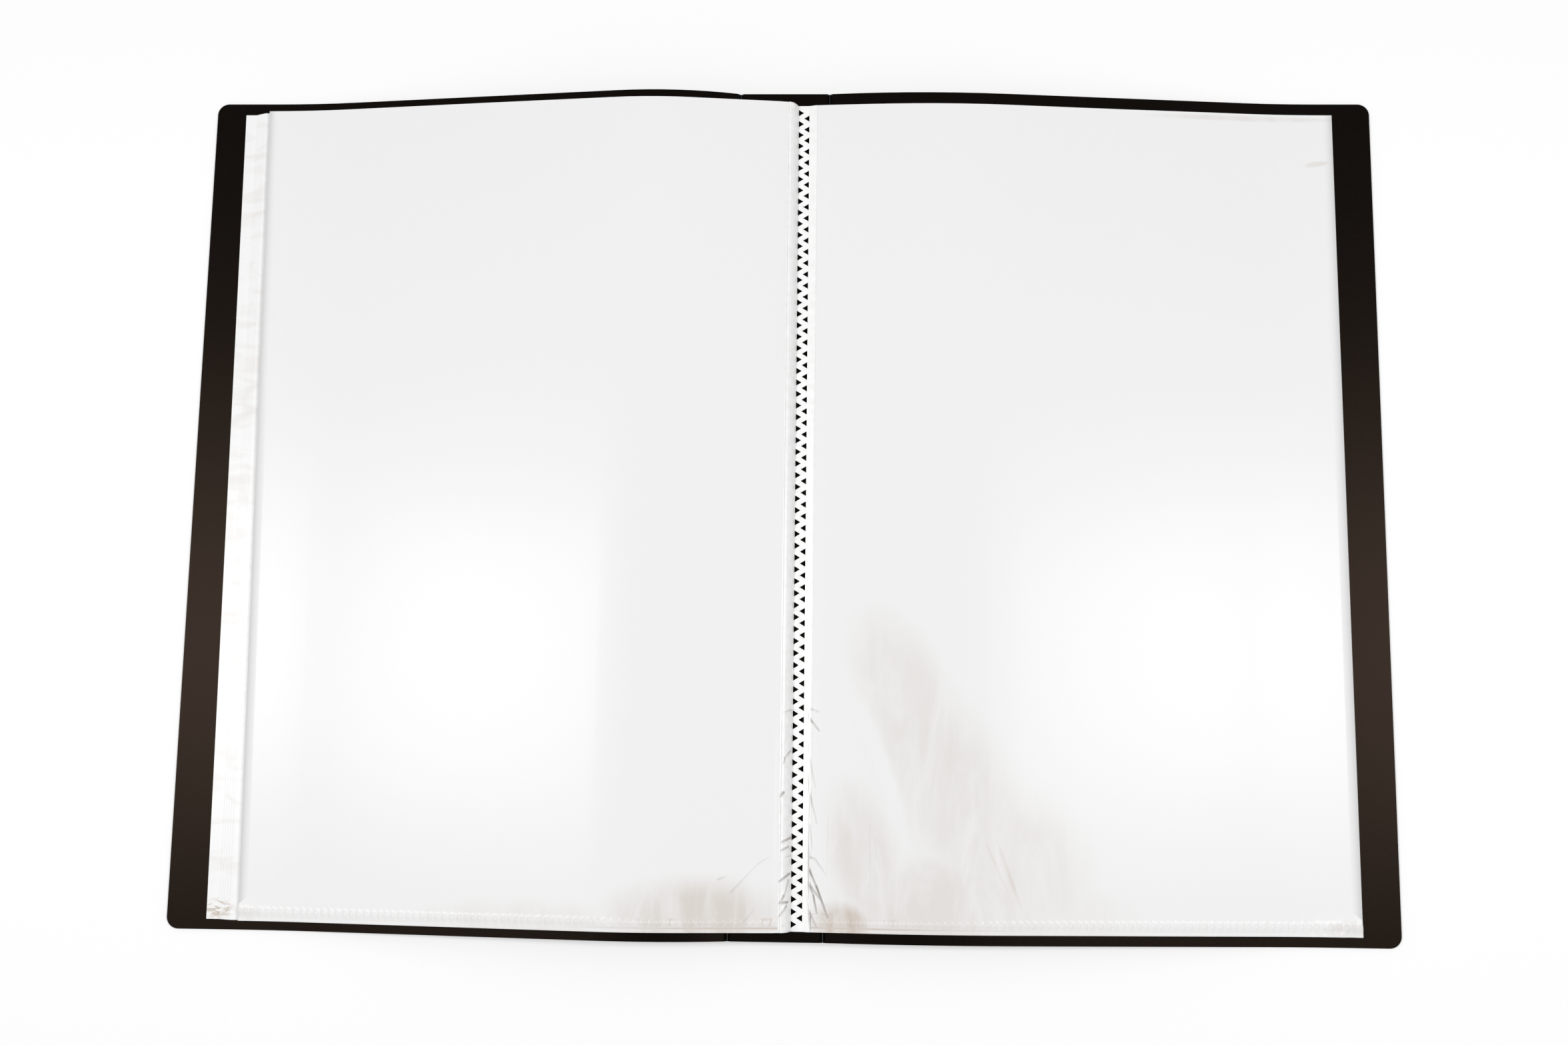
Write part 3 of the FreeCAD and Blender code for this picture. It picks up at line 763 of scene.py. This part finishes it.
class ALBUM_OT_leaves(bpy.types.Operator):
    """Film pockets and their sheets; the left pile is slightly out of square"""

    bl_idname = "album.leaves"
    bl_label = "Make the leaves"
    bend_step = 12 * MM  # from one bend of a leaf's mesh to the next
    slip_start = 60 * MM  # from the middle of the book to where a leaf begins to slip
    margin = 14 * MM  # from the cover's fore-edge to where the slip is whole

    def execute(self, context):
        self.covers = {"front": surface_of("front_cover_panel"),
                       "back": surface_of("back_cover_panel")}
        closed_film = cast_film("pocket film", CLOSED_OPACITY, opened=False)
        open_film = cast_film("open page film", OPEN_OPACITY, opened=True)
        paper = insert_paper()
        for number in [*LEFT_LEAVES, *RIGHT_LEAVES]:
            opened = number in (OPEN_LEFT, OPEN_RIGHT)
            names = "pocket_%02d" % number, "sheet_%02d" % number
            meshes = [node_copy(name) for name in names]
            for name, mesh in zip(names, meshes):
                low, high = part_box(name)
                cut(mesh, "x", steps(low.x, high.x, self.bend_step))
            if opened:
                self.ripple(meshes[0], names[0], number in LEFT_LEAVES)
            for mesh in meshes:
                self.slip(mesh, number)
            new_piece("film_%02d" % number, meshes[0], "leaf_%02d" % number,
                      open_film if opened else closed_film, "pocket_film", names[0])
            new_piece("paper_%02d" % number, meshes[1], "insert_%02d" % number,
                      paper, "insert_paper", names[1])
        return {"FINISHED"}

    def ripple(self, mesh, node_name, left):
        """Cuts the upper film finely and lifts it into waves, creases and seam beads."""
        film = bpy.context.scene.album_film
        low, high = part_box(node_name)
        heights = surface_of(node_name)
        side = -1 if left else 1
        root = high.x if left else low.x
        gutter, seam = GUTTER_FILM * MM, TAIL + SEAM_FILM * MM
        busy = TAIL + CREASED_FILM * MM
        cut(mesh, "x", [root + side * gutter])
        cut(mesh, "y", [seam, busy])
        upper = mesh.faces.layers.int.new("upper")
        for face in mesh.faces:
            middle = middle_of(face)
            found = heights(middle.x, middle.y)
            above = found is not None and middle.z > (found[0] + found[1]) / 2
            face[upper] = above and face.normal.z > 0.5

        def zone(face):
            middle = middle_of(face)
            if middle.y < seam:
                return "seam"
            near = side * (middle.x - root) < gutter and middle.y < busy
            return "creased" if near else "plain"

        for name, across, along in (
                ("seam", film.bead_pitch / 6, film.fine_step),
                ("creased", film.fine_step, film.fine_step * 1.5),
                ("plain", film.coarse_step * 1.5, film.coarse_step)):
            divide(mesh, lambda: [face for face in mesh.faces
                                  if face[upper] and zone(face) == name], across, along)
        crease = mesh.verts.layers.float.new(CREASE)
        seam_shade_layer = mesh.verts.layers.float.new(SEAM_SHADE)
        creases = crease_lines()
        for vert in {vert for face in mesh.faces if face[upper] for vert in face.verts}:
            x, y = vert.co.x, vert.co.y
            vert[seam_shade_layer] = painted_seam_shade(x, y)
            free = between(0.4 * MM, 2.5 * MM, side * (x - root))
            vert[crease] = crease_share(x, y, creases, film.crease_half_width)
            lift = film_lift(x, y, left) + film.crease_height * vert[crease]
            vert.co.z += free * lift

    def slip(self, mesh, number):
        """Slides the outer part of a leaf along its cover, by its place along the spine."""
        pile = bpy.context.scene.album_pile
        if number in LEFT_LEAVES:
            above = (number - 1) / (len(LEFT_LEAVES) - 1)
            share = pile.lowest_share + (1 - pile.lowest_share) * above
            head, tail, cover = -share * pile.head_slip, pile.tail_slip, self.covers["front"]
            inner, outer = -self.slip_start, CAD_BOX[0].x + self.margin
        else:
            head, tail, cover = -pile.right_head_slip, -pile.right_tail_slip, self.covers["back"]
            inner, outer = self.slip_start, CAD_BOX[1].x - self.margin
        for vert in mesh.verts:
            up = (vert.co.y - TAIL) / (HEAD - TAIL)
            slip = (1 - up) * tail + up * head
            slip *= max(0.0, min(1.0, (vert.co.x - inner) / (outer - inner)))
            here, there = cover(vert.co.x, 0.0), cover(vert.co.x + slip, 0.0)
            if here and there:
                vert.co.z += there[1] - here[1]
            vert.co.x += slip


class ALBUM_OT_stage(bpy.types.Operator):
    """White table, a white room, two soft lamps, and the camera above the gutter"""

    bl_idname = "album.stage"
    bl_label = "Set the stage"
    table_size = 20.0
    table_gap = 0.2 * MM
    table_glow = 0.22
    lamp_size = 0.35
    lamp_out = 0.7
    lamp_aim = 0.12, -0.02
    camera_place = 19.891 * MM, -87.638 * MM
    camera_turns = 7.5937, 1.6609, 0.7052

    def execute(self, context):
        stage = context.scene.album_stage
        self.table()
        self.surroundings(stage)
        for side in (-1, 1):
            self.lamp(stage, side)
        self.camera(stage)
        context.scene.view_settings.view_transform = "Standard"
        return {"FINISHED"}

    def table(self):
        mesh = bmesh.new()
        bmesh.ops.create_grid(mesh, x_segments=1, y_segments=1, size=self.table_size)
        data = bpy.data.meshes.new("table")
        mesh.to_mesh(data)
        mesh.free()
        table = bpy.data.objects.new("table", data)
        table.location.z = CAD_BOX[0].z - self.table_gap
        bpy.context.scene.collection.objects.link(table)
        material, tree, shader = start_material("white table", Roughness=0.8)
        shader.inputs["Base Color"].default_value = rgba("#e8e8e8")
        rays = add_node(tree, "ShaderNodeLightPath").outputs
        seen = worked_out(tree, "ADD", rays["Is Camera Ray"], rays["Is Glossy Ray"])
        seen = worked_out(tree, "ADD", seen, rays["Is Transmission Ray"])
        glow = worked_out(tree, "MULTIPLY", seen, self.table_glow)
        shader.inputs["Emission Color"].default_value = rgba("#ffffff")
        tree.links.new(glow, shader.inputs["Emission Strength"])
        data.materials.append(material)

    def surroundings(self, stage):
        world = bpy.data.worlds.new("white room")
        bpy.context.scene.world = world
        world.use_nodes = True
        background = world.node_tree.nodes["Background"]
        background.inputs["Color"].default_value = rgba("#ffffff")
        background.inputs["Strength"].default_value = stage.surroundings

    def lamp(self, stage, side):
        """A soft lamp placed so that one cover margin shows its sheen below the middle."""
        data = bpy.data.lights.new("soft lamp", "AREA")
        data.size = self.lamp_size
        data.energy = stage.lamp_power
        lamp = bpy.data.objects.new("soft lamp", data)
        lamp.location = (side * self.lamp_out, 0.0, stage.lamp_height)
        aim_x, aim_y = self.lamp_aim
        aim = Vector((side * aim_x, aim_y, 0.0)) - lamp.location
        lamp.rotation_euler = aim.to_track_quat("-Z", "Y").to_euler()
        bpy.context.scene.collection.objects.link(lamp)

    def camera(self, stage):
        data = bpy.data.cameras.new("camera")
        data.lens = 35.0
        data.sensor_width = 36.0
        camera = bpy.data.objects.new("camera", data)
        camera.location = (*self.camera_place, stage.camera_height)
        turns = [math.radians(turn) for turn in self.camera_turns]
        camera.rotation_euler = Euler(turns, "XYZ")
        bpy.context.scene.collection.objects.link(camera)
        bpy.context.scene.camera = camera


# ------------------------------------------------------------------ the add-on
STEPS = (ALBUM_OT_cover, ALBUM_OT_weld_strips, ALBUM_OT_leaves, ALBUM_OT_stage)
SETTINGS = {
    "album_cover": CoverSettings,
    "album_film": FilmSettings,
    "album_pile": PileSettings,
    "album_weld": WeldSettings,
    "album_stage": StageSettings,
}


class ALBUM_PT_panel(bpy.types.Panel):
    """Lists the album's steps and their settings"""

    bl_label = "Pocket album"
    bl_idname = "ALBUM_PT_panel"
    bl_space_type = "VIEW_3D"
    bl_region_type = "UI"
    bl_category = "Album"

    def draw(self, context):
        for group in SETTINGS:
            box = self.layout.box()
            settings = getattr(context.scene, group)
            for name in settings.__annotations__:
                box.prop(settings, name)
        for step in STEPS:
            self.layout.operator(step.bl_idname)


def register():
    for name, group in SETTINGS.items():
        bpy.utils.register_class(group)
        setattr(bpy.types.Scene, name, PointerProperty(type=group))
    for step in STEPS:
        bpy.utils.register_class(step)
    bpy.utils.register_class(ALBUM_PT_panel)


def unregister():
    bpy.utils.unregister_class(ALBUM_PT_panel)
    for step in reversed(STEPS):
        bpy.utils.unregister_class(step)
    for name, group in SETTINGS.items():
        delattr(bpy.types.Scene, name)
        bpy.utils.unregister_class(group)


def main():
    register()
    for step in STEPS:
        area, name = step.bl_idname.split(".")
        getattr(getattr(bpy.ops, area), name)()


if __name__ == "__main__":
    main()
